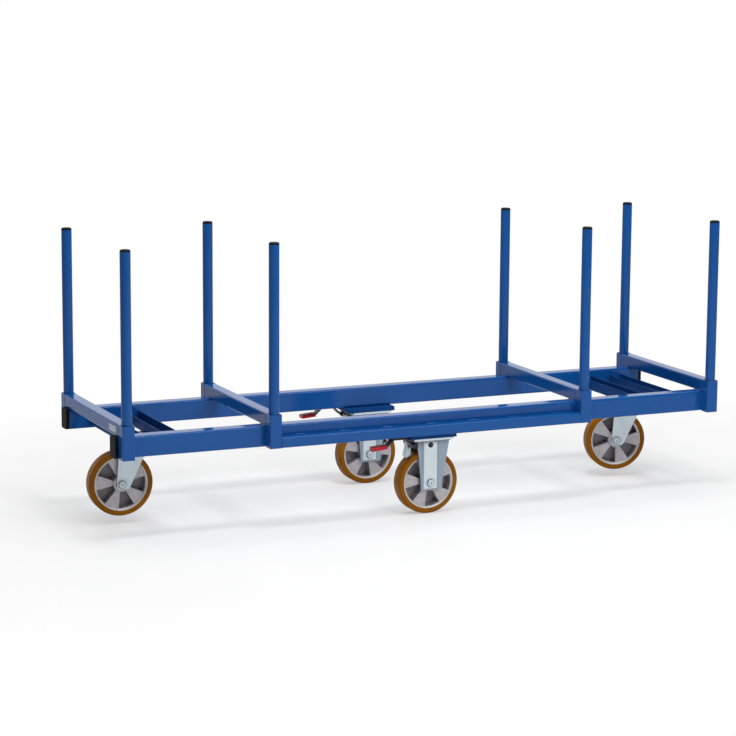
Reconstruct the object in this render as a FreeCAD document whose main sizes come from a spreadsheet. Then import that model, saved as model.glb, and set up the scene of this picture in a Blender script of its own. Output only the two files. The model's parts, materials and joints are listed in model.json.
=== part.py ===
import FreeCAD, Part
import math
import operator
import os
from types import SimpleNamespace

import Sketcher

# Long material cart: X along the rails, +Y to the far side, Z up from the floor.
# Driving dimensions in millimetres and degrees, one cell of the spreadsheet each.
SIZES = {
    # Frame
    "end_post_pitch": 2480,
    "inner_post_pitch": 1320,
    "post_row_pitch": 700,
    "rail_width": 60,
    "rail_height": 80,
    "rail_wall": 4,
    "rail_corner": 8,
    "beam_wall": 3,
    "beam_corner": 5,
    "outer_rail_height": 40,
    "socket_clearance": 1,
    "socket_floor": 4,
    "end_cap_flange": 14,
    "end_cap_plug": 25,
    "plug_clearance": 0.2,
    "channel_width": 60,
    "channel_height": 40,
    "channel_wall": 4,
    "channel_pitch": 140,
    "channel_lift": 15,
    "packing_length": 205,
    "packing_width": 140,
    "packing_thickness": 15,
    # Posts
    "post_diameter": 40,
    "post_wall": 2.6,
    "post_rise": 640,
    "post_seat_gap": 0.5,
    "post_cap_height": 8,
    "post_cap_chamfer": 4,
    # Wheels
    "wheel_diameter": 250,
    "wheel_width": 60,
    "tyre_thickness": 20,
    "tyre_shoulder": 6,
    "rim_inset": 3,
    "rim_ring": 9,
    "web_inset": 5,
    "web_thickness": 7,
    "pocket_angle": 38,
    "back_pocket_angle": 26,
    "hub_diameter": 62,
    "hub_length": 64,
    "axle_diameter": 20,
    "axle_head_across": 24,
    "axle_head_height": 6,
    "running_clearance": 0.05,
    "hole_clearance": 0.1,
    "side_clearance": 0.5,
    "near_roll": 6,
    "far_roll": 28,
    "left_roll": 5,
    "right_roll": 36,
    # Castors
    "castor_headroom": 55,
    "castor_plate_length": 175,
    "castor_plate_width": 140,
    "castor_plate_thickness": 8,
    "castor_plate_corner": 10,
    "castor_inset": 8,
    "leg_thickness": 6,
    "leg_top_front": 84,
    "leg_top_back": 54,
    "leg_foot_front": 54,
    "leg_foot_back": 37,
    "leg_foot_drop": 32,
    "leg_foot_chamfer": 8,
    "ridge_width": 74,
    "ridge_taper": 55,
    "hollow_width": 42,
    "ridge_height": 7,
    "ridge_hole": 22,
    "ridge_hole_drop": 22,
    "pivot_inset": 160,
    "trail": 72,
    "left_turn": 3.5,
    "right_turn": 13,
    "race_diameter": 104,
    "upper_race_height": 11,
    "lower_race_height": 14,
    "race_gap": 0.5,
    "crown_thickness": 8,
    "swivel_leg_front": 32,
    "swivel_leg_back": 10,
    "swivel_foot_front": 32,
    "swivel_foot_back": 20,
    "swivel_foot_drop": 20,
    "kingpin_diameter": 20,
    "kingpin_nut_across": 36,
    "kingpin_nut_height": 18,
    # Brakes
    "brake_angle": 10,
    "brake_gap": 0.6,
    "brake_shaft_clearance": 15,
    "brake_shaft_drop": 17,
    "brake_shaft_diameter": 14,
    "brake_hub_diameter": 22,
    "ear_length": 23,
    "ear_spacing": 30,
    "ear_thickness": 6,
    "ear_tip": 13,
    "bracket_strip": 4,
    "shoe_start": 109,
    "shoe_end": 119,
    "shoe_thickness": 9,
    "shoe_arm": 12,
    "lever_offset": 62,
    "lever_width": 30,
    "lever_thickness": 6,
    "lever_clearance": 3,
    "lever_low": 2,
    "lever_step": 16,
    "lever_bend": 96,
    "lug_width": 16,
    "pedal_reach": 154,
    "pedal_lift": 4,
    "pedal_slope": 5,
    "pedal_length": 58,
    "pedal_width": 38,
    "pedal_thickness": 15,
    "pedal_corner": 5,
    "pedal_end_wall": 5,
    "tread_groove_depth": 2,
    "tread_groove_width": 5,
    "tread_groove_pitch": 10,
}
SPOKE_PAIRS = 5
TREAD_GROOVES = 5
MITRE = math.tan(math.pi / 8)

OPERATORS = {"+": operator.add, "-": operator.sub, "*": operator.mul, "/": operator.truediv}


class Size:
    """A dimension that carries its number and the spreadsheet expression behind it."""

    def __init__(self, number, text):
        self.number = number
        self.text = text

    def __add__(self, other):
        return combine(self, "+", other)

    def __radd__(self, other):
        return combine(other, "+", self)

    def __sub__(self, other):
        return combine(self, "-", other)

    def __rsub__(self, other):
        return combine(other, "-", self)

    def __mul__(self, other):
        return combine(self, "*", other)

    def __rmul__(self, other):
        return combine(other, "*", self)

    def __truediv__(self, other):
        return combine(self, "/", other)

    def __neg__(self):
        return combine(0, "-", self)


def as_size(item):
    return item if isinstance(item, Size) else Size(item, f"({item})")


def combine(left, sign, right):
    left = as_size(left)
    right = as_size(right)
    return Size(OPERATORS[sign](left.number, right.number), f"({left.text} {sign} {right.text})")


def cosine(angle):
    angle = as_size(angle)
    return Size(math.cos(math.radians(angle.number)), f"cos({angle.text})")


def sine(angle):
    angle = as_size(angle)
    return Size(math.sin(math.radians(angle.number)), f"sin({angle.text})")


doc = FreeCAD.newDocument("long_material_cart")
sheet = doc.addObject("Spreadsheet::Sheet", "sizes")
for row, (alias, number) in enumerate(SIZES.items(), start=1):
    sheet.set(f"A{row}", alias)
    sheet.set(f"B{row}", str(number))
    sheet.setAlias(f"B{row}", alias)
doc.recompute()
d = SimpleNamespace(**{alias: Size(number, "sizes." + alias) for alias, number in SIZES.items()})

# Levels and places that several pieces share
wheel_radius = d.wheel_diameter / 2
castor_height = d.wheel_diameter + d.castor_headroom
rail_bottom = castor_height + d.packing_thickness
rail_top = rail_bottom + d.rail_height
socket_bore = d.post_diameter + 2 * d.socket_clearance
beam_side = socket_bore + 2 * d.beam_wall
beam_top = rail_top + beam_side
post_top = beam_top + d.post_rise
rail_length = d.end_post_pitch + beam_side
rail_outer = (d.post_row_pitch - beam_side) / 2
rail_middle = rail_outer - d.rail_width / 2
fixed_line = rail_middle - d.castor_inset
pivot_reach = d.end_post_pitch / 2 - d.pivot_inset
leg_gap = d.hub_length / 2 + d.side_clearance
fixed_plate_bottom = castor_height - d.castor_plate_thickness
channel_bottom = rail_bottom + d.channel_lift
swivel_axle_height = channel_bottom - castor_height + wheel_radius
race_split = channel_bottom - d.castor_plate_thickness - d.upper_race_height
crown_top = race_split - d.race_gap - d.lower_race_height
crown_bottom = crown_top - d.crown_thickness
brake_shaft_height = fixed_plate_bottom - d.brake_shaft_drop
brake_shaft_offset = d.leg_top_back + d.brake_shaft_clearance + d.brake_shaft_diameter / 2
lever_rise = rail_bottom - brake_shaft_height - d.lever_clearance - d.lever_thickness


def bind(item, name, value):
    """Tie a property of a document object to the spreadsheet."""
    item.setExpression(name, as_size(value).text)


def place(item, x=0, y=0, z=0, turn=0, axis="0; 0; 1"):
    x, y, z, turn = (as_size(value).text for value in (x, y, z, turn))
    item.setExpression("Placement", f"placement(vector({x}; {y}; {z}); rotation(vector({axis}); {turn}))")
    return item


def new_body(name):
    body = doc.addObject("PartDesign::Body", name)
    body.Label = name
    return body


def origin_of(body, role):
    return next(item for item in body.Origin.OriginFeatures if item.Role == role)


def new_sketch(body, name, role, offset=0):
    """A sketch on one of the body's origin planes, moved along the plane's normal."""
    sketch = body.newObject("Sketcher::SketchObject", name)
    sketch.AttachmentSupport = (origin_of(body, role), [""])
    sketch.MapMode = "FlatFace"
    bind(sketch, "AttachmentOffset.Base.z", offset)
    return sketch


def roll_sketch(sketch, angle):
    """Turn a sketch about its own vertical axis."""
    sketch.AttachmentOffset = FreeCAD.Placement(FreeCAD.Vector(), FreeCAD.Rotation(ACROSS, angle.number))
    bind(sketch, "AttachmentOffset.Rotation.Angle", angle)


def constrain(sketch, kind, *parts):
    """Add a driving dimension whose last part is a Size and tie it to the spreadsheet."""
    value = as_size(parts[-1])
    index = sketch.addConstraint(Sketcher.Constraint(kind, *parts[:-1], value.number))
    sketch.setExpression(f"Constraints[{index}]", value.text)


def pin(sketch, geometry, point, x, y):
    """Hold one point of a sketch at x, y from the sketch's origin."""
    constrain(sketch, "DistanceX", -1, 1, geometry, point, x)
    constrain(sketch, "DistanceY", -1, 1, geometry, point, y)


def draw_polygon(sketch, points):
    first = sketch.GeometryCount
    corners = [FreeCAD.Vector(as_size(x).number, as_size(y).number, 0) for x, y in points]
    following = corners[1:] + corners[:1]
    for start, end in zip(corners, following):
        sketch.addGeometry(Part.LineSegment(start, end), False)
    count = len(points)
    for index, (x, y) in enumerate(points):
        line = first + index
        sketch.addConstraint(Sketcher.Constraint("Coincident", line, 2, first + (index + 1) % count, 1))
        pin(sketch, line, 1, x, y)


def draw_rectangle(sketch, width, height, x=0, y=0):
    left = x - width / 2
    right = x + width / 2
    low = y - height / 2
    high = y + height / 2
    draw_polygon(sketch, [(left, low), (right, low), (right, high), (left, high)])


def draw_rounded(sketch, width, height, radius, x=0, y=0):
    """A rectangle with four equal rounded corners, centred on x, y."""
    first = sketch.GeometryCount
    middle = FreeCAD.Vector(as_size(x).number, as_size(y).number, 0)
    reach_x = (width / 2 - radius).number
    reach_y = (height / 2 - radius).number
    corner = radius.number
    quarter = math.pi / 2
    signs = [(1, 1), (-1, 1), (-1, -1), (1, -1)]
    for index, (sign_x, sign_y) in enumerate(signs):
        centre = middle + FreeCAD.Vector(sign_x * reach_x, sign_y * reach_y, 0)
        circle = Part.Circle(centre, FreeCAD.Vector(0, 0, 1), corner)
        sketch.addGeometry(Part.ArcOfCircle(circle, index * quarter, (index + 1) * quarter), False)
    for index in range(4):
        start = sketch.getPoint(first + index, 2)
        end = sketch.getPoint(first + (index + 1) % 4, 1)
        sketch.addGeometry(Part.LineSegment(start, end), False)
    for index in range(4):
        line = first + 4 + index
        sketch.addConstraint(Sketcher.Constraint("Tangent", first + index, 2, line, 1))
        sketch.addConstraint(Sketcher.Constraint("Tangent", line, 2, first + (index + 1) % 4, 1))
        direction = "Horizontal" if index % 2 == 0 else "Vertical"
        sketch.addConstraint(Sketcher.Constraint(direction, line))
    for index in range(1, 4):
        sketch.addConstraint(Sketcher.Constraint("Equal", first, first + index))
    constrain(sketch, "Radius", first, radius)
    pin(sketch, first, 3, x + (width / 2 - radius), y + (height / 2 - radius))
    pin(sketch, first + 2, 3, x - (width / 2 - radius), y - (height / 2 - radius))


def draw_circle(sketch, diameter, x=0, y=0):
    index = sketch.GeometryCount
    centre = FreeCAD.Vector(as_size(x).number, as_size(y).number, 0)
    circle = Part.Circle(centre, FreeCAD.Vector(0, 0, 1), diameter.number / 2)
    sketch.addGeometry(circle, False)
    constrain(sketch, "Diameter", index, diameter)
    pin(sketch, index, 3, x, y)


def draw_hexagon(sketch, across):
    radius = across / (2 * cosine(30))
    draw_polygon(sketch, [(radius * cosine(60 * k), radius * sine(60 * k)) for k in range(6)])


def extrude(sketch, kind, length, sides="One side", back=0, reverse=False):
    """Pad or Pocket a sketch; symmetric lengths are measured overall."""
    body = sketch.getParentGeoFeatureGroup()
    feature = body.newObject("PartDesign::" + kind, f"{sketch.Name}_{kind.lower()}")
    feature.Profile = sketch
    feature.SideType = sides
    feature.Reversed = reverse
    bind(feature, "Length", length)
    if sides == "Two sides":
        bind(feature, "Length2", back)
    return feature


def turn_profile(sketch, kind, axis, angle=360, middle=False):
    """Revolution or Groove of a sketch about one of the body's origin axes."""
    body = sketch.getParentGeoFeatureGroup()
    feature = body.newObject("PartDesign::" + kind, f"{sketch.Name}_{kind.lower()}")
    feature.Profile = sketch
    feature.ReferenceAxis = (origin_of(body, axis), [""])
    feature.Midplane = middle
    bind(feature, "Angle", angle)
    return feature


def mirror_features(body, originals, role):
    feature = body.newObject("PartDesign::Mirrored", body.Name + "_mirrored")
    feature.Originals = originals
    feature.MirrorPlane = (origin_of(body, role), [""])
    body.Tip = feature


def repeat_round(body, original, axis, count):
    feature = body.newObject("PartDesign::PolarPattern", original.Name + "_pattern")
    feature.Originals = [original]
    feature.Axis = (origin_of(body, axis), [""])
    feature.Angle = 360
    feature.Occurrences = count
    body.Tip = feature


def mirrored(source, name, normal):
    """A mirror image of a whole piece across the cart's middle."""
    image = doc.addObject("Part::Mirroring", name)
    image.Label = name
    image.Source = source
    image.Normal = normal
    return image


def pair(name, pieces):
    group = doc.addObject("Part::Compound", name)
    group.Label = name
    group.Links = pieces
    return group


ACROSS = FreeCAD.Vector(0, 1, 0)
ALONG = FreeCAD.Vector(1, 0, 0)
SIDES = {"near": -1, "far": 1}
ROWS = {
    "left_end": -d.end_post_pitch / 2,
    "left_inner": -d.inner_post_pitch / 2,
    "right_inner": d.inner_post_pitch / 2,
    "right_end": d.end_post_pitch / 2,
}
nodes = []


def side_rail(side):
    """Closed rectangular tube that carries everything else."""
    body = new_body(f"{side}_side_rail")
    section = new_sketch(body, f"{side}_rail_section", "YZ_Plane")
    draw_rounded(section, d.rail_width, d.rail_height, d.rail_corner)
    draw_rectangle(section, d.rail_width - 2 * d.rail_wall, d.rail_height - 2 * d.rail_wall)
    extrude(section, "Pad", rail_length, "Symmetric")
    return place(body, y=SIDES[side] * rail_middle, z=rail_bottom + d.rail_height / 2)


def outer_rail(side):
    """Shorter tube welded along the outside of a rail, between the inner sockets."""
    body = new_body(f"{side}_outer_rail")
    section = new_sketch(body, f"{side}_outer_section", "YZ_Plane")
    draw_rounded(section, beam_side, d.outer_rail_height, d.beam_corner)
    draw_rectangle(section, beam_side - 2 * d.beam_wall, d.outer_rail_height - 2 * d.beam_wall)
    extrude(section, "Pad", d.inner_post_pitch - beam_side, "Symmetric")
    return place(body, y=SIDES[side] * d.post_row_pitch / 2, z=rail_bottom + d.outer_rail_height / 2)


def rail_caps():
    """Plastic caps with a plug that close the rails' ends, a pair for each rail."""
    body = new_body("near_right_cap")
    flange = new_sketch(body, "cap_flange", "YZ_Plane")
    draw_rounded(flange, d.rail_width, d.rail_height, d.rail_corner)
    extrude(flange, "Pad", d.end_cap_flange)
    plug = new_sketch(body, "cap_plug", "YZ_Plane")
    slack = 2 * (d.rail_wall + d.plug_clearance)
    draw_rectangle(plug, d.rail_width - slack, d.rail_height - slack)
    extrude(plug, "Pad", d.end_cap_plug, reverse=True)
    place(body, rail_length / 2, -rail_middle, rail_bottom + d.rail_height / 2)
    near = pair("near_rail_caps", [body, mirrored(body, "near_left_cap", ALONG)])
    return [near, mirrored(near, "far_rail_caps", ACROSS)]


def cross_beam(row):
    """Square tube that lies on both rails and carries the load."""
    body = new_body(f"{row}_beam")
    section = new_sketch(body, f"{row}_beam_section", "XZ_Plane")
    draw_rounded(section, beam_side, beam_side, d.beam_corner)
    draw_rectangle(section, beam_side - 2 * d.beam_wall, beam_side - 2 * d.beam_wall)
    extrude(section, "Pad", 2 * rail_outer, "Symmetric")
    return place(body, ROWS[row], 0, rail_top + beam_side / 2)


def sockets(row):
    """Upright square tubes with a floor, one at each end of a beam."""
    body = new_body(f"{row}_near_socket")
    walls = new_sketch(body, f"{row}_socket_walls", "XY_Plane")
    draw_rounded(walls, beam_side, beam_side, d.beam_corner)
    draw_rectangle(walls, socket_bore, socket_bore)
    extrude(walls, "Pad", beam_top - rail_bottom)
    floor = new_sketch(body, f"{row}_socket_floor", "XY_Plane")
    draw_rectangle(floor, socket_bore + d.beam_wall, socket_bore + d.beam_wall)
    extrude(floor, "Pad", d.socket_floor)
    place(body, ROWS[row], -d.post_row_pitch / 2, rail_bottom)
    return pair(f"{row}_sockets", [body, mirrored(body, f"{row}_far_socket", ACROSS)])


def post(side, row):
    """Round tube that drops into a socket and lifts out."""
    body = new_body(f"{side}_{row}_post")
    section = new_sketch(body, f"{side}_{row}_tube", "XY_Plane")
    draw_circle(section, d.post_diameter)
    draw_circle(section, d.post_diameter - 2 * d.post_wall)
    bottom = rail_bottom + d.socket_floor + d.post_seat_gap
    extrude(section, "Pad", post_top - bottom)
    return place(body, ROWS[row], SIDES[side] * d.post_row_pitch / 2, bottom)


def post_cap(side, row):
    """Plastic cap with a chamfered crown that closes the post's top."""
    body = new_body(f"{side}_{row}_post_cap")
    profile = new_sketch(body, f"{side}_{row}_cap_profile", "XZ_Plane")
    radius = d.post_diameter / 2
    draw_polygon(profile, [
        (0, 0),
        (radius, 0),
        (radius, d.post_cap_height - d.post_cap_chamfer),
        (radius - d.post_cap_chamfer, d.post_cap_height),
        (0, d.post_cap_height),
    ])
    turn_profile(profile, "Revolution", "Z_Axis")
    return place(body, ROWS[row], SIDES[side] * d.post_row_pitch / 2, post_top)


def cross_channel(name, x):
    """Open channel between the rails that carries a swivel castor's plate."""
    body = new_body(name)
    section = new_sketch(body, f"{name}_section", "XZ_Plane")
    half = d.channel_width / 2
    inner = half - d.channel_wall
    draw_polygon(section, [
        (-half, 0),
        (half, 0),
        (half, d.channel_height),
        (inner, d.channel_height),
        (inner, d.channel_wall),
        (-inner, d.channel_wall),
        (-inner, d.channel_height),
        (-half, d.channel_height),
    ])
    extrude(section, "Pad", 2 * (rail_outer - d.rail_width), "Symmetric")
    return place(body, x, 0, channel_bottom)


def packing_plate():
    """Plate between a rail and its fixed castor, which sets the middle wheels lower."""
    body = new_body("near_packing_plate")
    outline = new_sketch(body, "packing_outline", "XY_Plane")
    draw_rounded(outline, d.packing_length, d.packing_width, d.castor_plate_corner)
    extrude(outline, "Pad", d.packing_thickness)
    return place(body, 0, -fixed_line, castor_height)


def tyre(name):
    """Polyurethane tread with tapered shoulders, turned about the axle."""
    body = new_body(f"{name}_tyre")
    profile = new_sketch(body, f"{name}_tyre_profile", "XY_Plane")
    half = d.wheel_width / 2
    inside = wheel_radius - d.tyre_thickness
    shoulder = wheel_radius - d.tyre_shoulder
    draw_polygon(profile, [
        (inside, -half),
        (shoulder, -half),
        (wheel_radius, d.tyre_shoulder - half),
        (wheel_radius, half - d.tyre_shoulder),
        (shoulder, half),
        (inside, half),
    ])
    turn_profile(profile, "Revolution", "Y_Axis")
    return body


def rim(name, roll):
    """Die-cast centre whose web zigzags: five pockets from one side, five from the other."""
    body = new_body(f"{name}_rim")
    profile = new_sketch(body, f"{name}_rim_profile", "XY_Plane")
    bore = d.axle_diameter / 2 + d.running_clearance
    hub = d.hub_diameter / 2
    outside = wheel_radius - d.tyre_thickness
    ring = outside - d.rim_ring
    ring_half = d.wheel_width / 2 - d.rim_inset
    web_half = ring_half - d.web_inset
    hub_half = d.hub_length / 2
    draw_polygon(profile, [
        (bore, -hub_half),
        (hub, -hub_half),
        (hub, -web_half),
        (ring, -web_half),
        (outside, -ring_half),
        (outside, ring_half),
        (ring, web_half),
        (hub, web_half),
        (hub, hub_half),
        (bore, hub_half),
    ])
    turn_profile(profile, "Revolution", "Y_Axis")
    for side, sign, angle in (("near", -1, d.pocket_angle), ("far", 1, d.back_pocket_angle)):
        pocket = new_sketch(body, f"{name}_rim_{side}_pocket", "XY_Plane")
        roll_sketch(pocket, roll)
        inner = -sign * hub
        outer = -sign * ring
        face = sign * hub_half
        floor = -sign * (web_half - d.web_thickness)
        draw_polygon(pocket, [(inner, face), (outer, face), (outer, floor), (inner, floor)])
        groove = turn_profile(pocket, "Groove", "Y_Axis", angle, True)
        repeat_round(body, groove, "Y_Axis", SPOKE_PAIRS)
    return body


def axle(name, reach):
    """Axle bolt with its head and nut, reaching to the outer faces of the fork."""
    body = new_body(f"{name}_axle")
    shaft = new_sketch(body, f"{name}_axle_shaft", "XZ_Plane")
    draw_circle(shaft, d.axle_diameter)
    extrude(shaft, "Pad", 2 * reach, "Symmetric")
    head = new_sketch(body, f"{name}_axle_head", "XZ_Plane", reach)
    draw_hexagon(head, d.axle_head_across)
    mirror_features(body, [extrude(head, "Pad", d.axle_head_height)], "XZ_Plane")
    return body


def fixed_fork():
    """Pressed fork of a fixed castor: a plate and two tapered legs with a raised ridge."""
    body = new_body("near_fixed_fork")
    plate = new_sketch(body, "fixed_plate", "XY_Plane", fixed_plate_bottom)
    draw_rounded(plate, d.castor_plate_length, d.castor_plate_width, d.castor_plate_corner)
    extrude(plate, "Pad", d.castor_plate_thickness)
    low = wheel_radius - d.leg_foot_drop
    leg = new_sketch(body, "fixed_leg", "XZ_Plane", leg_gap)
    draw_polygon(leg, [
        (-d.leg_top_back, fixed_plate_bottom),
        (-d.leg_foot_back, wheel_radius),
        (-d.leg_foot_back, low + d.leg_foot_chamfer),
        (d.leg_foot_chamfer - d.leg_foot_back, low),
        (d.leg_foot_front - d.leg_foot_chamfer, low),
        (d.leg_foot_front, low + d.leg_foot_chamfer),
        (d.leg_foot_front, wheel_radius),
        (d.leg_top_front, fixed_plate_bottom),
    ])
    leg_pad = extrude(leg, "Pad", d.leg_thickness)
    ridge = new_sketch(body, "fixed_ridge", "XZ_Plane", leg_gap + d.leg_thickness)
    ridge_length = castor_height - low
    draw_rectangle(ridge, d.ridge_width, ridge_length, 0, low + ridge_length / 2)
    ridge_pad = extrude(ridge, "Pad", d.ridge_height)
    bind(ridge_pad, "TaperAngle", -d.ridge_taper)
    back = new_sketch(body, "fixed_ridge_back", "XZ_Plane", leg_gap)
    back_height = fixed_plate_bottom - wheel_radius - d.axle_head_across
    draw_rectangle(back, d.hollow_width, back_height, 0, fixed_plate_bottom - back_height / 2)
    back_pocket = extrude(back, "Pocket", d.ridge_height, reverse=True)
    mirror_features(body, [leg_pad, ridge_pad, back_pocket], "XZ_Plane")
    holes = new_sketch(body, "fixed_holes", "XZ_Plane")
    draw_circle(holes, d.axle_diameter + 2 * d.hole_clearance, 0, wheel_radius)
    draw_circle(holes, d.ridge_hole, 0, fixed_plate_bottom - d.ridge_hole_drop)
    extrude(holes, "Pocket", d.castor_plate_width, "Symmetric")
    return place(body, 0, -fixed_line)


def swivel_base(name, x):
    """Top plate of a swivel castor with its upper race, kingpin and nut."""
    body = new_body(f"{name}_swivel_base")
    plate_bottom = channel_bottom - d.castor_plate_thickness
    plate = new_sketch(body, f"{name}_base_plate", "XY_Plane", plate_bottom)
    draw_rounded(plate, d.castor_plate_length, d.castor_plate_width, d.castor_plate_corner)
    extrude(plate, "Pad", d.castor_plate_thickness)
    race = new_sketch(body, f"{name}_upper_race", "XY_Plane", race_split)
    draw_circle(race, d.race_diameter)
    extrude(race, "Pad", d.upper_race_height)
    nut_top = crown_bottom - d.race_gap
    nut = new_sketch(body, f"{name}_kingpin_nut", "XY_Plane", nut_top)
    draw_hexagon(nut, d.kingpin_nut_across)
    kingpin = new_sketch(body, f"{name}_kingpin", "XY_Plane", nut_top)
    draw_circle(kingpin, d.kingpin_diameter)
    extrude(kingpin, "Pad", race_split - nut_top)
    extrude(nut, "Pad", d.kingpin_nut_height, reverse=True)
    return place(body, x)


def swivel_fork(name):
    """Turning fork: lower race, crown and two legs that trail the wheel behind the pivot."""
    body = new_body(f"{name}_swivel_fork")
    outside = leg_gap + d.leg_thickness
    race_radius = d.race_diameter / 2
    crown_back = d.trail + d.swivel_leg_back
    crown = new_sketch(body, f"{name}_crown", "XY_Plane", crown_bottom)
    crown_middle = (race_radius - crown_back) / 2
    draw_rounded(crown, crown_back + race_radius, 2 * outside, d.castor_plate_corner, crown_middle, 0)
    extrude(crown, "Pad", d.crown_thickness)
    race = new_sketch(body, f"{name}_lower_race", "XY_Plane", crown_top)
    draw_circle(race, d.race_diameter)
    extrude(race, "Pad", d.lower_race_height)
    foot_back = -d.trail - d.swivel_foot_back
    foot_front = d.swivel_foot_front - d.trail
    low = swivel_axle_height - d.swivel_foot_drop
    leg = new_sketch(body, f"{name}_leg", "XZ_Plane", leg_gap)
    draw_polygon(leg, [
        (-crown_back, crown_bottom),
        (foot_back, low + d.leg_foot_chamfer),
        (foot_back + d.leg_foot_chamfer, low),
        (foot_front - d.leg_foot_chamfer, low),
        (foot_front, low + d.leg_foot_chamfer),
        (d.swivel_leg_front, crown_bottom),
    ])
    mirror_features(body, [extrude(leg, "Pad", d.leg_thickness)], "XZ_Plane")
    hole = new_sketch(body, f"{name}_axle_hole", "XZ_Plane")
    draw_circle(hole, d.axle_diameter + 2 * d.hole_clearance, -d.trail, swivel_axle_height)
    extrude(hole, "Pocket", 3 * outside, "Symmetric")
    bore = new_sketch(body, f"{name}_kingpin_bore", "XY_Plane", crown_top)
    draw_circle(bore, d.kingpin_diameter + 2 * d.running_clearance)
    extrude(bore, "Pocket", 3 * d.lower_race_height, "Symmetric")
    return body


def brake_bracket():
    """Inverted U under the castor plate whose ears carry the brake's shaft."""
    body = new_body("near_brake_bracket")
    half = d.ear_length / 2
    inside = d.ear_spacing / 2
    strip = new_sketch(body, "bracket_strip_outline", "XY_Plane", -d.bracket_strip)
    draw_rectangle(strip, d.ear_length, d.ear_spacing + 2 * d.ear_thickness)
    extrude(strip, "Pad", d.bracket_strip)
    ear = new_sketch(body, "bracket_ear", "XZ_Plane", inside)
    tip = -d.brake_shaft_drop - d.ear_tip
    draw_polygon(ear, [
        (-half, 0),
        (-half, -d.brake_shaft_drop),
        (-half / 2, tip),
        (half / 2, tip),
        (half, -d.brake_shaft_drop),
        (half, 0),
    ])
    mirror_features(body, [extrude(ear, "Pad", d.ear_thickness)], "XZ_Plane")
    hole = new_sketch(body, "bracket_shaft_hole", "XZ_Plane")
    draw_circle(hole, d.brake_shaft_diameter + 2 * d.running_clearance, 0, -d.brake_shaft_drop)
    extrude(hole, "Pocket", 2 * d.ear_spacing, "Symmetric")
    return place(body, -brake_shaft_offset, -fixed_line, fixed_plate_bottom)


def pedal_point(along, up):
    """A point of the sloping foot end of the lever, seen from the brake's shaft."""
    x = along * cosine(d.pedal_slope) - up * sine(d.pedal_slope) - d.pedal_reach
    z = along * sine(d.pedal_slope) + up * cosine(d.pedal_slope) + d.pedal_lift
    return x, z


def brake_lever():
    """Shaft with the brake shoe between the ears and the foot lever at its outer end."""
    body = new_body("near_brake_lever")
    shaft = new_sketch(body, "brake_shaft", "XZ_Plane")
    draw_circle(shaft, d.brake_shaft_diameter)
    shaft_back = d.ear_spacing / 2 + d.ear_thickness + 2 * d.side_clearance
    extrude(shaft, "Pad", d.lever_offset + d.lug_width / 2, "Two sides", shaft_back)
    shoe_width = d.ear_spacing - 2 * d.side_clearance
    hub = new_sketch(body, "brake_hub", "XZ_Plane")
    draw_circle(hub, d.brake_hub_diameter)
    extrude(hub, "Pad", shoe_width, "Symmetric")
    # The wheel's centre where the shoe meets it, seen from the released lever
    across = brake_shaft_offset
    drop = brake_shaft_height - wheel_radius
    centre_x = across * cosine(d.brake_angle) - drop * sine(d.brake_angle)
    centre_z = -across * sine(d.brake_angle) - drop * cosine(d.brake_angle)
    face = wheel_radius + d.brake_gap

    def on_shoe(radius, angle):
        return centre_x + radius * cosine(angle), centre_z + radius * sine(angle)

    shoe = new_sketch(body, "brake_shoe", "XZ_Plane")
    draw_polygon(shoe, [
        (d.shoe_arm / 2, 0),
        (-d.shoe_arm / 2, 0),
        on_shoe(face + d.shoe_thickness, d.shoe_end),
        on_shoe(face - d.shoe_thickness, d.shoe_end),
        on_shoe(face - d.shoe_thickness, d.shoe_start),
        on_shoe(face + d.shoe_thickness, d.shoe_start),
    ])
    extrude(shoe, "Pad", shoe_width, "Symmetric")
    wheel_cut = new_sketch(body, "brake_shoe_face", "XZ_Plane")
    draw_circle(wheel_cut, 2 * face, centre_x, centre_z)
    extrude(wheel_cut, "Pocket", 2 * shoe_width, "Symmetric")
    lug = new_sketch(body, "brake_lug", "XZ_Plane", d.lever_offset - d.lug_width / 2)
    draw_circle(lug, d.brake_hub_diameter)
    extrude(lug, "Pad", d.lug_width)
    arm = new_sketch(body, "brake_arm", "XZ_Plane", d.lever_offset - d.lever_width / 2)
    half = d.lever_thickness / 2
    foot_start = d.pedal_length / 2
    foot_end = d.pedal_end_wall - d.pedal_length / 2
    # The arm steps up at 45 degrees behind the packing plate and runs close under the rail
    step_end = d.lever_step + lever_rise - d.lever_low
    mitre = d.lever_thickness * MITRE
    draw_polygon(arm, [
        (0, d.lever_low),
        (0, d.lever_low + d.lever_thickness),
        (-d.lever_step, d.lever_low + d.lever_thickness),
        (-step_end, lever_rise + d.lever_thickness),
        (-d.lever_bend, lever_rise + d.lever_thickness),
        pedal_point(foot_start, half),
        pedal_point(foot_end, half),
        pedal_point(foot_end, -half),
        pedal_point(foot_start, -half),
        (mitre - d.lever_bend, lever_rise),
        (-step_end - mitre, lever_rise),
        (-d.lever_step - mitre, d.lever_low),
    ])
    extrude(arm, "Pad", d.lever_width)
    return place(body, -brake_shaft_offset, -fixed_line, brake_shaft_height)


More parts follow.
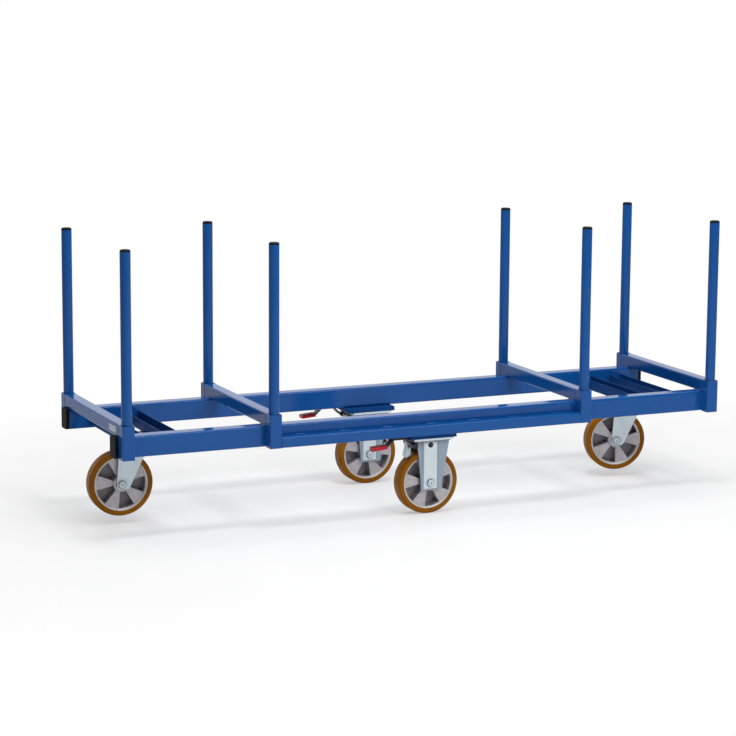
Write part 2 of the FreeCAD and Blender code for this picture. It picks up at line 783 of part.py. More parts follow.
def brake_pedal():
    """Plastic foot pad pushed over the lever's end, with a grooved tread on top."""
    body = new_body("near_brake_pedal")
    outline = new_sketch(body, "pedal_outline", "YZ_Plane")
    draw_rounded(outline, d.pedal_width, d.pedal_thickness, d.pedal_corner)
    extrude(outline, "Pad", d.pedal_length, "Symmetric")
    slot = new_sketch(body, "pedal_slot", "YZ_Plane", d.pedal_end_wall - d.pedal_length / 2)
    slack = 2 * d.hole_clearance
    draw_rectangle(slot, d.lever_width + slack, d.lever_thickness + slack)
    extrude(slot, "Pocket", d.pedal_length, reverse=True)
    groove = new_sketch(body, "pedal_groove", "XZ_Plane")
    first = -d.tread_groove_pitch * (TREAD_GROOVES - 1) / 2
    draw_rectangle(groove, d.tread_groove_width, 2 * d.tread_groove_depth, first, d.pedal_thickness / 2)
    cut = extrude(groove, "Pocket", d.lever_width, "Symmetric")
    pattern = body.newObject("PartDesign::LinearPattern", "pedal_tread")
    pattern.Originals = [cut]
    pattern.Direction = (origin_of(body, "X_Axis"), [""])
    bind(pattern, "Length", d.tread_groove_pitch * (TREAD_GROOVES - 1))
    pattern.Occurrences = TREAD_GROOVES
    body.Tip = pattern
    x = -brake_shaft_offset - d.pedal_reach
    y = -fixed_line - d.lever_offset
    return place(body, x, y, brake_shaft_height + d.pedal_lift, -d.pedal_slope, "0; 1; 0")


for side in SIDES:
    nodes += [side_rail(side), outer_rail(side)]
nodes += rail_caps()
for row in ROWS:
    nodes += [cross_beam(row), sockets(row)]
    for side in SIDES:
        nodes += [post(side, row), post_cap(side, row)]

# Fixed castors, packing plates and brakes: the near side and its mirror image
near_side = [
    packing_plate(),
    fixed_fork(),
    brake_bracket(),
    brake_lever(),
    brake_pedal(),
    place(axle("near", leg_gap + d.leg_thickness + d.ridge_height), 0, -fixed_line, wheel_radius),
    place(tyre("near"), 0, -fixed_line, wheel_radius),
]
nodes += near_side
nodes += [mirrored(piece, piece.Name.replace("near", "far"), ACROSS) for piece in near_side]
nodes.append(place(rim("near", d.near_roll), 0, -fixed_line, wheel_radius))
nodes.append(place(rim("far", d.far_roll), 0, fixed_line, wheel_radius))

# Swivel castors, each turned a little about its pivot
SWIVELS = {
    "left": (-pivot_reach, -d.left_turn, d.left_roll),
    "right": (pivot_reach, -d.right_turn, d.right_roll),
}
for end, (pivot, turn, roll) in SWIVELS.items():
    for part, offset in (("back", -d.channel_pitch / 2), ("front", d.channel_pitch / 2)):
        nodes.append(cross_channel(f"{end}_{part}_channel", pivot + offset))
    nodes.append(swivel_base(end, pivot))
    nodes.append(place(swivel_fork(end), pivot, turn=turn))
    wheel_x = pivot - d.trail * cosine(turn)
    wheel_y = -d.trail * sine(turn)
    for piece in (axle(end, leg_gap + d.leg_thickness), tyre(end), rim(end, roll)):
        nodes.append(place(piece, wheel_x, wheel_y, swivel_axle_height, turn))

doc.recompute()
for item in doc.Objects:
    if "Invalid" in item.State or "Error" in item.State:
        raise RuntimeError(f"{item.Label} did not build: {item.State}")

os.makedirs("parts", exist_ok=True)
for node in nodes:
    if node.Shape.isNull() or not node.Shape.isValid():
        raise RuntimeError(f"{node.Label} has no valid shape")
    node.Shape.exportStep(f"parts/{node.Label}.step")
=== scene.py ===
import json
import math

import bmesh
import bpy
from mathutils import Matrix, Vector


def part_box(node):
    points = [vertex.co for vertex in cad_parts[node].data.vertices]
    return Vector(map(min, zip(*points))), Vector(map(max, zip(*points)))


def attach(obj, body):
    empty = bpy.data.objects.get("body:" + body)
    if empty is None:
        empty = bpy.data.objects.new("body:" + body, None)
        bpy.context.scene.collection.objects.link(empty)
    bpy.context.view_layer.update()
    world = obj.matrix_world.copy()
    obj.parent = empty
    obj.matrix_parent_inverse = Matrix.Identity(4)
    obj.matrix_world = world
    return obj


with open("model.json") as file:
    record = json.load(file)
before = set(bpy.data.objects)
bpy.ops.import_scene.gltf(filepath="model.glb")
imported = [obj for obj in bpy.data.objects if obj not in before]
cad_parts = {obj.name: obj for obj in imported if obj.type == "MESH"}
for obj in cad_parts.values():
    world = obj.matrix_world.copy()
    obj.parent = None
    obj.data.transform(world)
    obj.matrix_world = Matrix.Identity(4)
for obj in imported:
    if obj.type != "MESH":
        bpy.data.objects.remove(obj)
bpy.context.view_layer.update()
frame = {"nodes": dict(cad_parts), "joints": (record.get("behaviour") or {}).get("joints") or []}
nodes = frame["nodes"]

MM = 0.001
SIDES = {"near": -1, "far": 1}
ROWS = ("left_end", "left_inner", "right_inner", "right_end")
ENDS = ("left", "right")
WHEELS = ("near", "far", "left", "right")
X = Vector((1, 0, 0))
Z = Vector((0, 0, 1))
CORNER_SIGNS = ((-1, -1), (1, -1), (1, 1), (-1, 1))
WHITE = (1, 1, 1, 1)


# Finishes: node trees over each object's own coordinates, in metres
def colour(red, green, blue):
    """An 8-bit screen colour as the linear colour that a shader takes, by the sRGB curve."""
    values = []
    for level in (red, green, blue):
        level /= 255
        values.append(level / 12.92 if level <= 0.04045 else ((level + 0.055) / 1.055) ** 2.4)
    return (*values, 1.0)


class Graph:
    """A node tree, and the nodes that the finishes and the world are wired from."""

    def __init__(self, tree):
        self.tree = tree

    def node(self, kind, **properties):
        node = self.tree.nodes.new(kind)
        for name, value in properties.items():
            setattr(node, name, value)
        return node

    def wire(self, source, socket):
        self.tree.links.new(source, socket)

    def feed(self, socket, value):
        """Link another node's output to a socket, or set the socket to a plain value."""
        if isinstance(value, bpy.types.NodeSocket):
            self.wire(value, socket)
        else:
            socket.default_value = value

    def calculate(self, operation, first, second=0.0):
        node = self.node("ShaderNodeMath", operation=operation)
        self.feed(node.inputs[0], first)
        self.feed(node.inputs[1], second)
        return node.outputs["Value"]

    def vector(self, operation, first, second=None):
        """A vector, or the number that a dot product or a length comes to."""
        node = self.node("ShaderNodeVectorMath", operation=operation)
        self.feed(node.inputs[0], first)
        if second is not None:
            self.feed(node.inputs[1], second)
        return node.outputs["Value" if operation in ("DOT_PRODUCT", "LENGTH") else "Vector"]

    def part(self, source, letter):
        """One coordinate of a vector."""
        split = self.node("ShaderNodeSeparateXYZ")
        self.wire(source, split.inputs["Vector"])
        return split.outputs[letter]

    def span(self, source, low, high, start=0.3, end=0.7):
        """Map a factor between start and end to the range low to high."""
        span = self.node("ShaderNodeMapRange")
        for socket, value in zip(("From Min", "From Max", "To Min", "To Max"), (start, end, low, high)):
            span.inputs[socket].default_value = value
        self.wire(source, span.inputs["Value"])
        return span.outputs["Result"]


class Finish(Graph):
    """A material with a principled shader, and the textures that its colour and grain are made of."""

    def __init__(self, name, metallic=0.0, gloss=0.5):
        self.material = bpy.data.materials.new(name)
        self.material.use_nodes = True
        super().__init__(self.material.node_tree)
        self.shader = self.tree.nodes["Principled BSDF"]
        self.shader.inputs["Metallic"].default_value = metallic
        self.shader.inputs["Specular IOR Level"].default_value = gloss
        self.place = self.node("ShaderNodeTexCoord").outputs["Object"]

    def stretched(self, x, y, z):
        """The object's coordinates scaled on each axis, for marks that run one way."""
        mapping = self.node("ShaderNodeMapping")
        mapping.inputs["Scale"].default_value = (x, y, z)
        self.wire(self.place, mapping.inputs["Vector"])
        return mapping.outputs["Vector"]

    def noise(self, scale, detail=3.0, where=None):
        noise = self.node("ShaderNodeTexNoise")
        noise.inputs["Scale"].default_value = scale
        noise.inputs["Detail"].default_value = detail
        self.wire(where or self.place, noise.inputs["Vector"])
        return noise.outputs["Fac"]

    def blend(self, factor, first, second):
        """Mix two colours, each a colour or the output of another node."""
        blend = self.node("ShaderNodeMix", data_type="RGBA")
        self.wire(factor, blend.inputs["Factor"])
        for name, value in (("A", first), ("B", second)):
            socket = next(item for item in blend.inputs if item.name == name and item.type == "RGBA")
            self.feed(socket, value)
        return next(item for item in blend.outputs if item.type == "RGBA")

    def crevices(self, reach):
        """Near 0 deep in recesses, 1 on surfaces with nothing else within the reach."""
        shade = self.node("ShaderNodeAmbientOcclusion", samples=16)
        shade.inputs["Distance"].default_value = reach
        return shade.outputs["AO"]

    def grain(self, height, depth):
        """Bump of a given depth."""
        bump = self.node("ShaderNodeBump")
        bump.inputs["Strength"].default_value = 1.0
        bump.inputs["Distance"].default_value = depth
        self.wire(height, bump.inputs["Height"])
        self.wire(bump.outputs["Normal"], self.shader.inputs["Normal"])

    def finish(self, base, rough):
        self.wire(base, self.shader.inputs["Base Color"])
        self.wire(rough, self.shader.inputs["Roughness"])
        return self.material


def powder_coat(name, dark, light, gloss, rough_low, rough_high):
    """Blue powder coat with slightly uneven cover, fine specks, painted shade in creases and orange peel."""
    look = Finish(name, gloss=gloss)
    cover = look.blend(look.span(look.noise(2.5), 0, 1), dark, light)
    specks = look.span(look.noise(900, 2), 0, 1, 0.45, 0.75)
    speckled = look.blend(specks, cover, colour(24, 92, 164))
    # Painted shade: the coat turns dark blue where other surfaces lie within 30 mm.
    painted_crease_shade = look.span(look.crevices(30 * MM), 1, 0, 0.05, 0.5)
    base = look.blend(painted_crease_shade, speckled, colour(6, 46, 104))
    look.grain(look.noise(420, 2), 0.03 * MM)
    return look.finish(base, look.span(look.noise(14), rough_low, rough_high))


def zinc_plate(name, crease_shaded=True, ridge=None, shade_black_from=None):
    """Bright zinc plating with faint blue and straw clouds, drawn marks and painted shade in hollows.

    Crease-shaded plating is painted darker beside small steps, as painted shade. A ridge is given by how far
    the fork's middle lies from the cart's, and the ridge's face from the fork's middle: the plating behind
    that face is painted duller, as painted shade on the flanks. Plain black, as painted shade, covers what
    lies further sideways than the given distance.
    """
    look = Finish(name, metallic=0.25)
    base = look.blend(look.span(look.noise(18), 0, 1), colour(206, 222, 230), colour(218, 226, 228))
    if crease_shaded:
        # Painted shade: the plating turns dark blue-grey beside small steps and at a ridge's foot.
        painted_crease_shade = look.span(look.crevices(20 * MM), 1, 0, 0.7, 0.98)
        base = look.blend(painted_crease_shade, base, colour(112, 128, 148))
    sideways = look.calculate("ABSOLUTE", look.part(look.place, "Y"))
    if ridge:
        middle, face = ridge
        depth = look.calculate("ABSOLUTE", look.calculate("SUBTRACT", sideways, middle))
        # Painted shade: the plating behind the ridge's face is painted a duller blue-grey.
        painted_flank_shade = look.span(depth, 1, 0, face - 1 * MM, face - 0.3 * MM)
        base = look.blend(painted_flank_shade, base, colour(150, 165, 180))
    if shade_black_from is not None:
        # Painted shade: plain black further sideways than the given distance, on the lever's arm and the
        # bracket.
        shade_black_mask = look.span(sideways, 0, 1, shade_black_from, shade_black_from + 1 * MM)
        base = look.blend(shade_black_mask, base, colour(26, 27, 30))
    # Painted shade: dark grey where other surfaces lie within 70 mm.
    painted_hollow_shade = look.span(look.crevices(70 * MM), 1, 0, 0.1, 0.8)
    base = look.blend(painted_hollow_shade, base, colour(50, 55, 62))
    drawn = look.noise(120, 2, look.stretched(1, 1, 0.08))
    look.grain(drawn, 0.02 * MM)
    return look.finish(base, look.span(drawn, 0.30, 0.40))


def cast_metal(name, centre, axis, face_depth, edge_radius):
    """Die-cast aluminium: bright faces with a turned edge that is partly a painted highlight,
    darker pockets behind them that are as-cast and partly painted shade, and painted shade in hollows.
    """
    look = Finish(name, metallic=0.3)
    from_centre = look.vector("SUBTRACT", look.place, centre)
    depth = look.calculate("ABSOLUTE", look.vector("DOT_PRODUCT", from_centre, axis))
    radius = look.vector("LENGTH", look.vector("CROSS_PRODUCT", from_centre, axis))
    on_face = look.span(depth, 0, 1, face_depth - 3 * MM, face_depth - 1 * MM)
    # A brighter band at the rim's outer edge: a turned edge, and partly a painted highlight.
    turned_edge_and_highlight = look.span(radius, 0, 1, edge_radius - 5 * MM, edge_radius - 4 * MM)
    mottled = look.span(look.noise(90, 5), 0, 1)
    # Darker pockets behind the faces: as-cast metal, and partly painted shade of the recesses.
    as_cast_and_shaded_pocket = look.blend(mottled, colour(142, 138, 143), colour(166, 160, 165))
    face = look.blend(mottled, colour(176, 172, 176), colour(196, 192, 194))
    metal = look.blend(turned_edge_and_highlight, look.blend(on_face, as_cast_and_shaded_pocket, face), colour(214, 210, 208))
    # Painted shade: dark grey where other surfaces lie within 20 mm.
    painted_hollow_shade = look.span(look.crevices(20 * MM), 1, 0, 0.1, 0.7)
    base = look.blend(painted_hollow_shade, metal, colour(78, 76, 82))
    cast_rough = look.span(look.noise(300, 4), 0.52, 0.66)
    polish = look.calculate("MULTIPLY", on_face, 0.14)
    look.grain(look.noise(700, 4), 0.1 * MM)
    return look.finish(base, look.calculate("SUBTRACT", cast_rough, polish))


def cast_tread():
    """Amber polyurethane: waxy, with faint flow clouds, dusty specks and fine turning marks."""
    look = Finish("amber_polyurethane", gloss=0.1)
    clouds = look.blend(look.span(look.noise(16, 4), 0, 1), colour(126, 76, 2), colour(148, 90, 5))
    dust = look.span(look.noise(380, 5), 0, 1, 0.55, 0.8)
    base = look.blend(dust, clouds, colour(156, 102, 24))
    look.grain(look.noise(240, 2, look.stretched(0.2, 4, 0.2)), 0.06 * MM)
    return look.finish(base, look.span(look.noise(60, 4), 0.32, 0.44))


def moulded(name, dark, light, gloss, rough_low, rough_high):
    """Injection-moulded plastic with an eroded-mould grain."""
    look = Finish(name, gloss=gloss)
    base = look.blend(look.span(look.noise(40, 4), 0, 1), dark, light)
    look.grain(look.noise(1100), 0.09 * MM)
    return look.finish(base, look.span(look.noise(220), rough_low, rough_high))


def satin_plate():
    """Satin aluminium of the bare label plate, brushed along its length."""
    look = Finish("satin_plate", metallic=0.6)
    brushed = look.noise(500, 3, look.stretched(1, 0.04, 1))
    base = look.blend(look.span(brushed, 0, 1), colour(164, 172, 192), colour(192, 198, 212))
    look.grain(brushed, 0.03 * MM)
    return look.finish(base, look.span(brushed, 0.34, 0.5))


POOL_LENGTH = 3.2
POOL_WIDTH = 2.6


def studio_floor():
    """Pale floor that keeps its shadows in a pool round the cart and runs out to plain white."""
    look = Finish("studio_floor")
    pale = look.blend(look.span(look.noise(3, 4), 0, 1), colour(242, 242, 242), colour(246, 246, 246))
    look.grain(look.noise(60), 0.2 * MM)
    look.finish(pale, look.span(look.noise(9), 0.6, 0.7))
    white = look.node("ShaderNodeEmission")
    white.inputs["Color"].default_value = WHITE
    distance = look.vector("LENGTH", look.stretched(1 / POOL_LENGTH, 1 / POOL_WIDTH, 0))
    away = look.span(distance, 0.4, 1, 0.35, 0.9)
    rays = look.node("ShaderNodeLightPath").outputs
    seen = look.calculate("MAXIMUM", rays["Is Camera Ray"], rays["Is Transmission Ray"])
    mix = look.node("ShaderNodeMixShader")
    look.wire(look.calculate("MULTIPLY", seen, away), mix.inputs["Fac"])
    look.wire(look.shader.outputs["BSDF"], mix.inputs[1])
    look.wire(white.outputs["Emission"], mix.inputs[2])
    look.wire(mix.outputs["Shader"], look.tree.nodes["Material Output"].inputs["Surface"])
    return look.material


fork_low, fork_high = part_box("far_fixed_fork")
FORK_MIDDLE = (fork_low.y + fork_high.y) / 2
RIDGE_FACE = 45.5 * MM
SHADE_BLACK_START = 325 * MM
BLUE = powder_coat("blue_powder_coat", colour(12, 72, 140), colour(16, 78, 148), 0.25, 0.07, 0.12)
# A darker, less glossy copy of the blue coat for the packing plates and channels: painted shade.
SHADED_BLUE_COAT = powder_coat("blue_coat_with_painted_shade", colour(8, 46, 100), colour(12, 52, 108), 0.05, 0.4, 0.5)
ZINC = zinc_plate("zinc_plated_steel")
# The fork's zinc has painted shade on the flanks behind its ridge.
FORK_ZINC = zinc_plate("fork_zinc", ridge=(FORK_MIDDLE, RIDGE_FACE))
BOLT_ZINC = zinc_plate("bright_bolt_zinc", crease_shaded=False)
# Lever arm and brake bracket in black: painted shade.
LEVER = zinc_plate("zinc_with_black_shade_arm", shade_black_from=SHADE_BLACK_START)
BLACK_SHADE_ZINC = zinc_plate("black_shade_bracket_coat", shade_black_from=0)
TREAD = cast_tread()
BLACK = moulded("black_plastic_grain", colour(20, 20, 24), colour(30, 30, 35), 0.06, 0.5, 0.62)
RED = moulded("red_plastic_grain", colour(168, 18, 34), colour(192, 30, 46), 0.25, 0.28, 0.40)
SATIN = satin_plate()

# CAD nodes: finish, and the rounded edges that pressings, castings and mouldings have
PRESSED_EDGE = 1.2 * MM
PLATE_EDGE = 1 * MM
MOULDED_EDGE = 0.8 * MM
CAP_EDGE = 2 * MM
TYRE_EDGE = 2.5 * MM
ROUND_STEPS = 3
WELD_REACH = 0.02 * MM
BEVEL_ANGLE = math.radians(35)


def dress(name, material, edge=None, steps=2):
    """Give a CAD node its material and, where an edge is given, rounded edges of that size."""
    piece = nodes[name]
    piece.data.materials.clear()
    piece.data.materials.append(material)
    if edge:
        weld = piece.modifiers.new("weld", "WELD")
        weld.merge_threshold = WELD_REACH
        bevel = piece.modifiers.new("edges", "BEVEL")
        bevel.width = edge
        bevel.segments = steps
        bevel.limit_method = "ANGLE"
        bevel.angle_limit = BEVEL_ANGLE
        bevel.use_clamp_overlap = True
        bevel.harden_normals = True


for side in SIDES:
    dress(f"{side}_side_rail", BLUE)
    dress(f"{side}_outer_rail", BLUE)
    dress(f"{side}_rail_caps", BLACK, CAP_EDGE, ROUND_STEPS)
    # Packing plates in the darker blue copy: painted shade.
    dress(f"{side}_packing_plate", SHADED_BLUE_COAT, PLATE_EDGE)
    dress(f"{side}_fixed_fork", FORK_ZINC, PRESSED_EDGE)
    # The bracket in black: painted shade.
    dress(f"{side}_brake_bracket", BLACK_SHADE_ZINC, PLATE_EDGE)
    dress(f"{side}_brake_lever", LEVER, PLATE_EDGE)
    dress(f"{side}_brake_pedal", RED, MOULDED_EDGE)
    for row in ROWS:
        dress(f"{side}_{row}_post", BLUE)
        dress(f"{side}_{row}_post_cap", BLACK, MOULDED_EDGE)
for row in ROWS:
    dress(f"{row}_beam", BLUE)
    dress(f"{row}_sockets", BLUE)
for end in ENDS:
    # Channels in the darker blue copy: painted shade.
    dress(f"{end}_back_channel", SHADED_BLUE_COAT, PLATE_EDGE)
    dress(f"{end}_front_channel", SHADED_BLUE_COAT, PLATE_EDGE)
    dress(f"{end}_swivel_base", ZINC, PLATE_EDGE)
    dress(f"{end}_swivel_fork", ZINC, PRESSED_EDGE)
spin_axes = {}
for joint in frame["joints"]:
    if joint["name"].endswith("spin"):
        spin_axes[joint["child"]] = Vector(joint["axis"])
WEB_FACE = 22 * MM
for wheel in WHEELS:
    low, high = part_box(f"{wheel}_rim")
    rim_radius = (high.z - low.z) / 2
    axis = spin_axes[f"{wheel}_wheel"]
    die_cast = cast_metal(f"{wheel}_die_cast", (low + high) / 2, axis, WEB_FACE, rim_radius)
    dress(f"{wheel}_axle", BOLT_ZINC, PLATE_EDGE)
    dress(f"{wheel}_tyre", TREAD, TYRE_EDGE, ROUND_STEPS)
    dress(f"{wheel}_rim", die_cast, MOULDED_EDGE)

# Small hardware that the CAD leaves out: skins of stacked rings, one object for each moving body
SMOOTH_ANGLE = math.radians(40)


def stack(shell, base, axis, profile, sides):
    """Skin rings of given radius and height along an axis, in millimetres, and close both ends."""
    turn = axis.to_track_quat("Z", "Y").to_matrix()
    rings = []
    for radius, height in profile:
        ring = []
        for index in range(sides):
            angle = 2 * math.pi * index / sides
            point = Vector((radius * math.cos(angle), radius * math.sin(angle), height)) * MM
            ring.append(shell.verts.new(base + turn @ point))
        rings.append(ring)
    for lower, upper in zip(rings, rings[1:]):
        for index in range(sides):
            after = (index + 1) % sides
            shell.faces.new((lower[index], lower[after], upper[after], upper[index]))
    shell.faces.new(rings[0][::-1])
    shell.faces.new(rings[-1])


def add_piece(name, shell, material, body):
    """Make a shell into a named object that rides on a body."""
    mesh = bpy.data.meshes.new(name)
    shell.to_mesh(mesh)
    shell.free()
    mesh.shade_smooth()
    mesh.set_sharp_from_angle(angle=SMOOTH_ANGLE)
    mesh.materials.append(material)
    piece = bpy.data.objects.new(name, mesh)
    bpy.context.scene.collection.objects.link(piece)
    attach(piece, body)


# Castor plate bolts, with profiles as pairs of radius and height in millimetres
HEX_RADIUS = 11.0
HEX_SIDES = 6
CHAMFER_RADIUS = 9.5
CHAMFER_HEIGHT = 1
WASHER_TOP = 1.8
WASHER_SIDES = 24
THREAD_SIDES = 16
WASHER = [(12.0, 0), (12.0, 1.2), (11.2, WASHER_TOP)]
NUT = [(10.0, WASHER_TOP), (HEX_RADIUS, 2.8), (HEX_RADIUS, 8.5), (CHAMFER_RADIUS, 9.5)]
THREAD_END = [(5.4, 9), (6, 9.6), (5.4, 10.2), (6, 10.8), (5.4, 11.4), (4.6, 12)]
HIGH_HEAD = 9
LOW_HEAD = 5
BOLT_X = 70 * MM
BOLT_Y = 52.5 * MM
WEB_THICKNESS = 4 * MM
PLATE_THICKNESS = 8 * MM


def bolt_head(shell, base, axis, height):
    """Washer and chamfered hexagon head."""
    head = [(HEX_RADIUS, WASHER_TOP), (HEX_RADIUS, height - CHAMFER_HEIGHT), (CHAMFER_RADIUS, height)]
    stack(shell, base, axis, WASHER, WASHER_SIDES)
    stack(shell, base, axis, head, HEX_SIDES)


def nut(shell, base, axis):
    """Washer, chamfered nut and the bolt's end standing out of it."""
    stack(shell, base, axis, WASHER, WASHER_SIDES)
    stack(shell, base, axis, NUT, HEX_SIDES)
    stack(shell, base, axis, THREAD_END, THREAD_SIDES)


def bolt_places(middle_x, middle_y):
    """The four bolts of a castor plate, seen from above."""
    for sign_x in (-1, 1):
        for sign_y in (-1, 1):
            yield middle_x + sign_x * BOLT_X, middle_y + sign_y * BOLT_Y


for end in ENDS:
    low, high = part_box(f"{end}_swivel_base")
    channel_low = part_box(f"{end}_back_channel")[0].z
    hardware = bmesh.new()
    for x, y in bolt_places((low.x + high.x) / 2, 0):
        bolt_head(hardware, Vector((x, y, channel_low + WEB_THICKNESS)), Z, HIGH_HEAD)
        nut(hardware, Vector((x, y, channel_low - PLATE_THICKNESS)), -Z)
    add_piece(f"{end}_castor_bolts", hardware, ZINC, "frame")
for side in SIDES:
    low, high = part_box(f"{side}_packing_plate")
    hardware = bmesh.new()
    for x, y in bolt_places(0, (low.y + high.y) / 2):
        bolt_head(hardware, Vector((x, y, low.z - PLATE_THICKNESS)), -Z, LOW_HEAD)
    add_piece(f"{side}_castor_bolts", hardware, ZINC, "frame")

# Turned ends of the axles, with a centre hole
AXLE_END = [(7.5, -0.5), (7.5, 2.5), (6.5, 3.5), (4, 3.5), (3.6, 0.5)]
AXLE_SIDES = 20
AXLE_BODIES = {"near": "frame", "far": "frame", "left": "left_swivel", "right": "right_swivel"}
for wheel, body in AXLE_BODIES.items():
    low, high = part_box(f"{wheel}_rim")
    middle = (low + high) / 2
    axis = spin_axes[f"{wheel}_wheel"]
    corners = [vertex.co for vertex in nodes[f"{wheel}_axle"].data.vertices]
    reach = max((corner - middle).dot(axis) for corner in corners)
    ends = bmesh.new()
    for sign in (-1, 1):
        stack(ends, middle + sign * reach * axis, sign * axis, AXLE_END, AXLE_SIDES)
    add_piece(f"{wheel}_axle_ends", ends, BOLT_ZINC, body)

# Weld beads, with radii in millimetres, which stop short of their seams' ends
BEAD_SIDES = 8
RIPPLE = 2.5 * MM
FEWEST_RIPPLES = 4
END_SHARE = 0.55
DIP_SHARE = 0.84
SOCKET_BEAD = 2.6
RAIL_BEAD = 3.2
FOOT_BEAD = 3.0
CHANNEL_BEAD = 2.8
STITCH_BEAD = 3.0
STITCH_LENGTH = 40 * MM
STITCHES = 7
SEAM_OFFSET = 1.5 * MM
CHANNEL_OFFSET = 0.5 * MM
START_GAP = 6 * MM
END_GAP = 4 * MM
EDGE_GAP = 3 * MM
CORNER_GAP = 1 * MM


def bead(shell, start, end, radius):
    """A weld bead: a tube whose ripples follow the torch's steps."""
    along = end - start
    steps = max(FEWEST_RIPPLES, round(along.length / RIPPLE))
    profile = []
    for step in range(steps + 1):
        taper = END_SHARE if step in (0, steps) else 1.0
        ripple = 1.0 if step % 2 else DIP_SHARE
        profile.append((radius * taper * ripple, along.length / MM * step / steps))
    stack(shell, start, along.normalized(), profile, BEAD_SIDES)


def upright_bead(shell, x, y, low_z, high_z, radius):
    """A weld bead along a vertical seam."""
    bead(shell, Vector((x, y, low_z)), Vector((x, y, high_z)), radius)


rail_low, rail_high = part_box("far_side_rail")
beam_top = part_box("left_end_beam")[1].z
welds = bmesh.new()
for row in ROWS:
    low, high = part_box(f"{row}_beam")
    middle_x = (low.x + high.x) / 2
    half_beam = (high.x - low.x) / 2
    for sign in SIDES.values():
        seam_y = sign * (rail_high.y + SEAM_OFFSET)
        for sign_x in (-1, 1):
            x = middle_x + sign_x * (half_beam - SEAM_OFFSET)
            upright_bead(welds, x, seam_y, rail_high.z + START_GAP, beam_top - EDGE_GAP, SOCKET_BEAD)
            # The rails end level with the end beams, so only the sockets are welded on that side
            if row.endswith("end") and sign_x * middle_x > 0:
                continue
            upright_bead(welds, x, seam_y, rail_low.z + START_GAP, rail_high.z - END_GAP, RAIL_BEAD)
            foot_x = middle_x + sign_x * half_beam
            foot_z = rail_high.z + CORNER_GAP
            outside = Vector((foot_x, sign * (rail_high.y - END_GAP), foot_z))
            inside = Vector((foot_x, sign * (rail_low.y + START_GAP), foot_z))
            bead(welds, outside, inside, FOOT_BEAD)
for end in ENDS:
    for part in ("back", "front"):
        low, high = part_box(f"{end}_{part}_channel")
        for sign in SIDES.values():
            y = sign * (rail_low.y - CHANNEL_OFFSET)
            for x in (low.x, high.x):
                upright_bead(welds, x, y, low.z + EDGE_GAP, high.z - CORNER_GAP, CHANNEL_BEAD)
outer_low, outer_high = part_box("near_outer_rail")
half_stitch = Vector((STITCH_LENGTH / 2, 0, 0))
for sign in SIDES.values():
    for index in range(STITCHES):
        x = outer_low.x + (outer_high.x - outer_low.x) * (index + 0.5) / STITCHES
        middle = Vector((x, sign * (rail_high.y + SEAM_OFFSET), outer_high.z - CORNER_GAP))
        bead(welds, middle - half_stitch, middle + half_stitch, STITCH_BEAD)
add_piece("weld_beads", welds, BLUE, "frame")

# Bare label plate with rounded corners and rivets on the left end beam
LABEL_LENGTH = 82 * MM
LABEL_HEIGHT = 23 * MM
LABEL_CORNER = 4 * MM
LABEL_Y = -258 * MM
LABEL_LEVELS = ((0, 1.0), (-0.7 * MM, 1.0), (-1.0 * MM, 0.98))
CORNER_STEPS = 4
RIVET = [(2.8, 0.5), (2.8, 1.2), (2.2, 1.9), (1.2, 2.3), (0.4, 2.4)]
RIVET_SIDES = 16
RIVET_INSET = 7 * MM
label_middle = Vector((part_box("left_end_beam")[0].x, LABEL_Y, (rail_high.z + beam_top) / 2))
outline = []
for index, (sign_y, sign_z) in enumerate(CORNER_SIGNS):
    centre_y = sign_y * (LABEL_LENGTH / 2 - LABEL_CORNER)
    centre_z = sign_z * (LABEL_HEIGHT / 2 - LABEL_CORNER)
    for step in range(CORNER_STEPS + 1):
        angle = math.pi + math.pi / 2 * (index + step / CORNER_STEPS)
        y = centre_y + LABEL_CORNER * math.cos(angle)
        z = centre_z + LABEL_CORNER * math.sin(angle)
        outline.append((y, z))
label = bmesh.new()
levels = []
for lift, share in LABEL_LEVELS:
    levels.append([label.verts.new(label_middle + Vector((lift, share * y, share * z))) for y, z in outline])
for lower, upper in zip(levels, levels[1:]):
    for index in range(len(outline)):
        after = (index + 1) % len(outline)
        label.faces.new((lower[after], lower[index], upper[index], upper[after]))
label.faces.new(levels[0])
label.faces.new(levels[-1][::-1])
for sign in (-1, 1):
    rivet_place = label_middle + Vector((0, sign * (LABEL_LENGTH / 2 - RIVET_INSET), 0))
    stack(label, rivet_place, -X, RIVET, RIVET_SIDES)
add_piece("label_plate", label, SATIN, "frame")

# Floor
FLOOR_REACH = 60.0
floor_mesh = bpy.data.meshes.new("floor")
floor_corners = [(x * FLOOR_REACH, y * FLOOR_REACH, 0) for x, y in CORNER_SIGNS]
floor_mesh.from_pydata(floor_corners, [], [(0, 1, 2, 3)])
floor = bpy.data.objects.new("floor", floor_mesh)
bpy.context.scene.collection.objects.link(floor)
floor.data.materials.append(studio_floor())


# Lights
def softbox(name, place, target, size, power):
    """A rectangular area light that faces its target."""
    light = bpy.data.lights.new(name, "AREA")
    light.shape = "RECTANGLE"
    light.size, light.size_y = size
    light.energy = power
    lamp = bpy.data.objects.new(name, light)
    lamp.location = place
    lamp.rotation_euler = (Vector(target) - Vector(place)).to_track_quat("-Z", "Y").to_euler()
    bpy.context.scene.collection.objects.link(lamp)


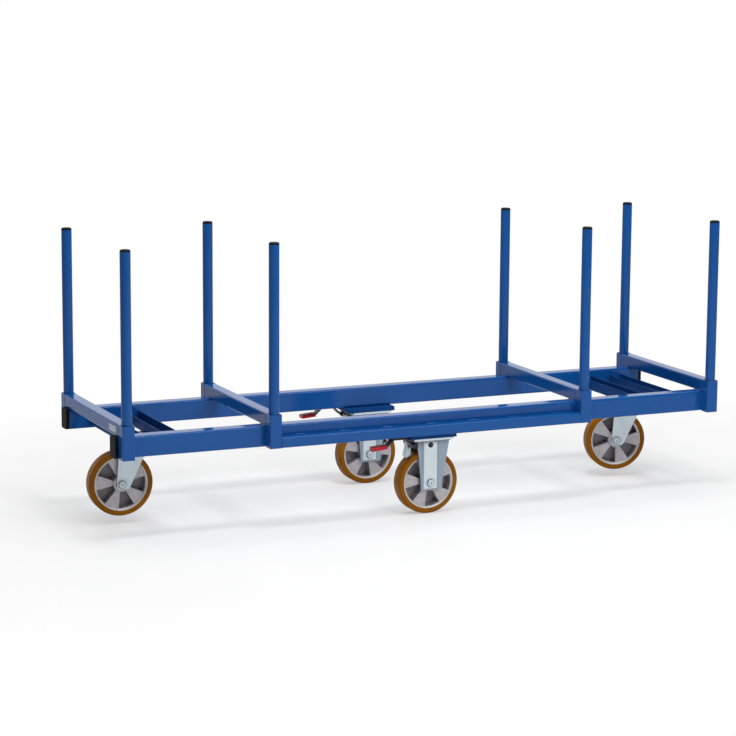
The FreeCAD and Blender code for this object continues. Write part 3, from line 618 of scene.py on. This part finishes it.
softbox("overhead", place=(0.0, 0.3, 5.0), target=(0, 0, 0), size=(6.0, 4.5), power=110)
softbox("key", place=(-0.3, -1.5, 5.0), target=(0, 0, 0), size=(1.4, 0.9), power=75)
softbox("front_fill", place=(1.5, -5.6, 4.5), target=(0, 0, 0.4), size=(3.5, 2.5), power=165)

# World: white to the camera, dim in front and white behind in reflections, a low light from all round
DIFFUSE_LEVEL = 0.3
FRONT_LEVEL = 0.15
FRONT_Y = -0.2
BACK_Y = 0.3
world = bpy.data.worlds.new("studio")
world.use_nodes = True
bpy.context.scene.world = world
sky = Graph(world.node_tree)
backdrop = sky.tree.nodes["Background"]
backdrop.inputs["Color"].default_value = WHITE
direction = sky.node("ShaderNodeTexCoord").outputs["Generated"]
rays = sky.node("ShaderNodeLightPath").outputs
room = sky.span(sky.part(direction, "Y"), FRONT_LEVEL, 1.0, FRONT_Y, BACK_Y)
glossy = sky.calculate("MULTIPLY", rays["Is Glossy Ray"], room)
plain = sky.calculate("MAXIMUM", rays["Is Camera Ray"], rays["Is Transmission Ray"])
seen = sky.calculate("MAXIMUM", glossy, plain)
lighting = sky.span(rays["Is Diffuse Ray"], 0.0, DIFFUSE_LEVEL, 0.0, 1.0)
sky.wire(sky.calculate("MAXIMUM", seen, lighting), backdrop.inputs["Strength"])

# Camera, as fitted to the photograph
IMAGE_SIDE = 736
FOCAL_PIXELS = 2563.6
SENSOR_WIDTH = 36.0
CLIP_END = 200.0
CAMERA_PLACE = (-4.1945, -9.0903, 2.2954)
CAMERA_YAW = math.radians(24.15)
CAMERA_PITCH = math.radians(10.05)
CAMERA_ROLL = math.radians(0.38)
lens = bpy.data.cameras.new("camera")
lens.sensor_width = SENSOR_WIDTH
lens.lens = FOCAL_PIXELS / IMAGE_SIDE * SENSOR_WIDTH
lens.clip_end = CLIP_END
camera = bpy.data.objects.new("camera", lens)
aim = Matrix.Rotation(-CAMERA_YAW, 4, "Z") @ Matrix.Rotation(math.pi / 2 - CAMERA_PITCH, 4, "X")
roll = Matrix.Rotation(CAMERA_ROLL, 4, "Z")
camera.matrix_world = Matrix.Translation(CAMERA_PLACE) @ aim @ roll
bpy.context.scene.collection.objects.link(camera)
bpy.context.scene.camera = camera
bpy.context.scene.view_settings.view_transform = "Standard"
